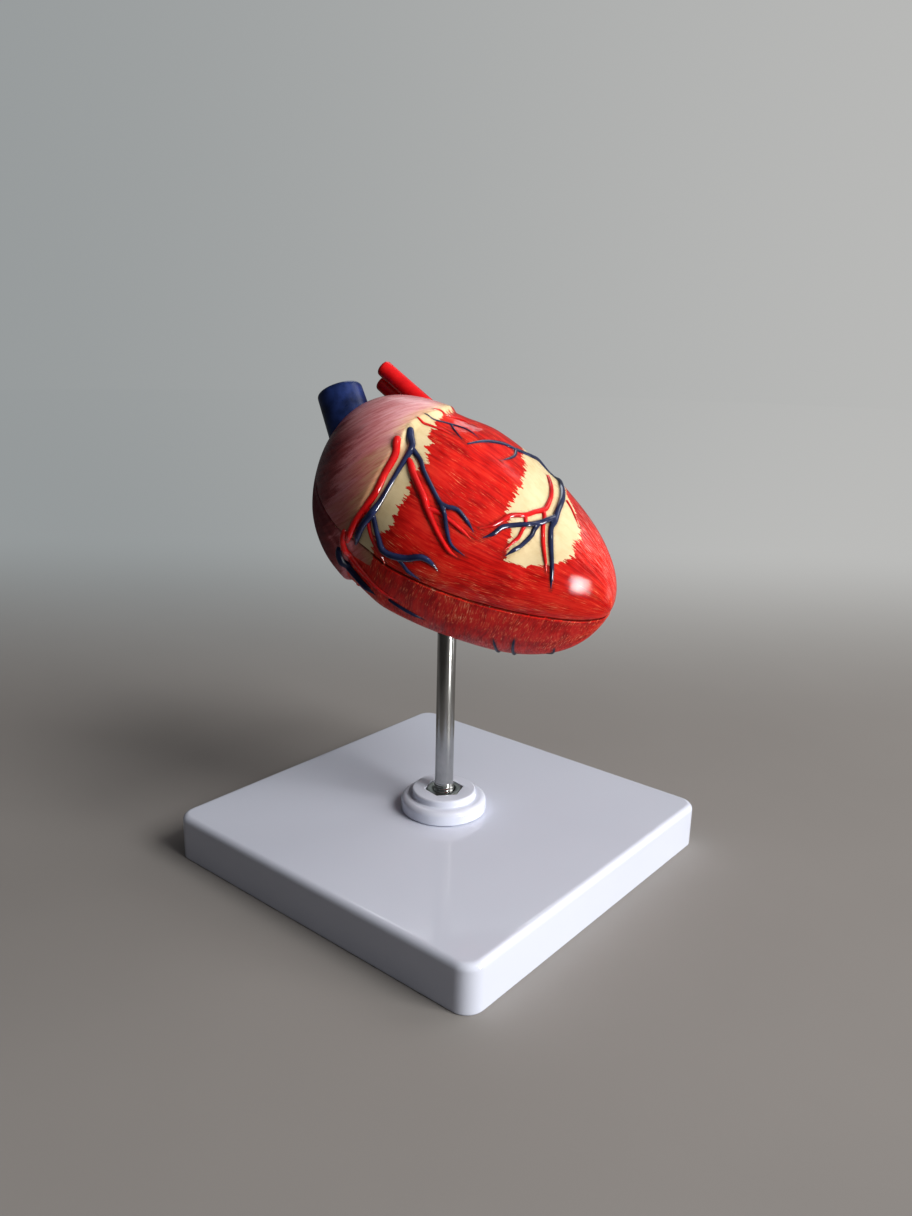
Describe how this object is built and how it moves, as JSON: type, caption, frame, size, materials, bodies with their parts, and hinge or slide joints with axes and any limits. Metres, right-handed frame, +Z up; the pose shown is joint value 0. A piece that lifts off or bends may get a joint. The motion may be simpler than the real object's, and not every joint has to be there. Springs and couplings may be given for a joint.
{
  "type": "heart anatomy model",
  "caption": "Life-size animal heart teaching model in painted plastic, split into a front and a back half, on a steel rod and a square white base.",
  "frame": {"origin": "under the middle of the base plate, on the surface the model stands on", "axes": "+Z up along the rod; X and Y along the edges of the square base, with the apex of the heart towards +X"},
  "size_m": [0.15, 0.15, 0.1918],
  "materials": {
    "white_plastic": "moulded, low gloss",
    "bright_rod": "bright plated steel",
    "fastener_steel": "zinc plated steel",
    "painted_muscle": "hand-painted muscle red with cream fat and rosy atria, clear gloss coat",
    "section_face": "painted cut muscle, satin",
    "artery_red": "gloss enamel",
    "vein_blue": "gloss enamel",
    "ivory_plastic": "satin",
    "magnet_plating": "nickel plated"
  },
  "bodies": {
    "stand": {"base_plate": "white_plastic", "rod_collar": "white_plastic", "upper_nut": "fastener_steel", "lower_washer": "fastener_steel", "lower_nut": "fastener_steel", "support_rod": "bright_rod"},
    "pivot": {"pivot_cap": "fastener_steel"},
    "heart_back": {"back_shell": "painted_muscle", "back_section": "section_face", "rod_socket": "ivory_plastic", "middle_peg": "ivory_plastic", "atrium_peg": "ivory_plastic", "back_apex_magnet": "magnet_plating", "back_atrium_magnet": "magnet_plating", "mitral_valve": "ivory_plastic", "tricuspid_valve": "ivory_plastic", "left_papillary_muscle": "section_face", "right_papillary_muscle": "section_face", "aorta": "artery_red", "pulmonary_trunk": "vein_blue", "caudal_vena_cava": "vein_blue", "circumflex_artery_lower": "artery_red", "left_ventricle_vein": "vein_blue", "lower_marginal_vein": "vein_blue", "right_coronary_artery": "artery_red", "middle_cardiac_vein": "vein_blue"},
    "heart_front": {"front_shell": "painted_muscle", "front_section": "section_face", "front_apex_magnet": "magnet_plating", "front_atrium_magnet": "magnet_plating", "cranial_vena_cava": "vein_blue", "upper_pulmonary_vein": "artery_red", "lower_pulmonary_vein": "artery_red", "great_cardiac_vein": "vein_blue", "circumflex_artery": "artery_red", "marginal_artery": "artery_red", "interventricular_artery": "artery_red", "interventricular_vein": "vein_blue", "apical_artery_twig": "artery_red", "conus_artery": "artery_red", "upper_conus_artery": "artery_red", "conus_vein": "vein_blue"}
  },
  "joints": [
    {"name": "swivel", "type": "hinge", "parent": "stand", "child": "pivot", "pos_m": [0, 0, 0.1], "axis": [0, 0, 1], "continuous": true},
    {"name": "lift_off", "type": "slide", "parent": "pivot", "child": "heart_back", "axis": [0, 0, 1], "range_m": [0, 0.02]},
    {"name": "open_front", "type": "slide", "parent": "heart_back", "child": "heart_front", "axis": [0.5313, -0.2087, 0.8211], "range_m": [0, 0.06]}
  ]
}
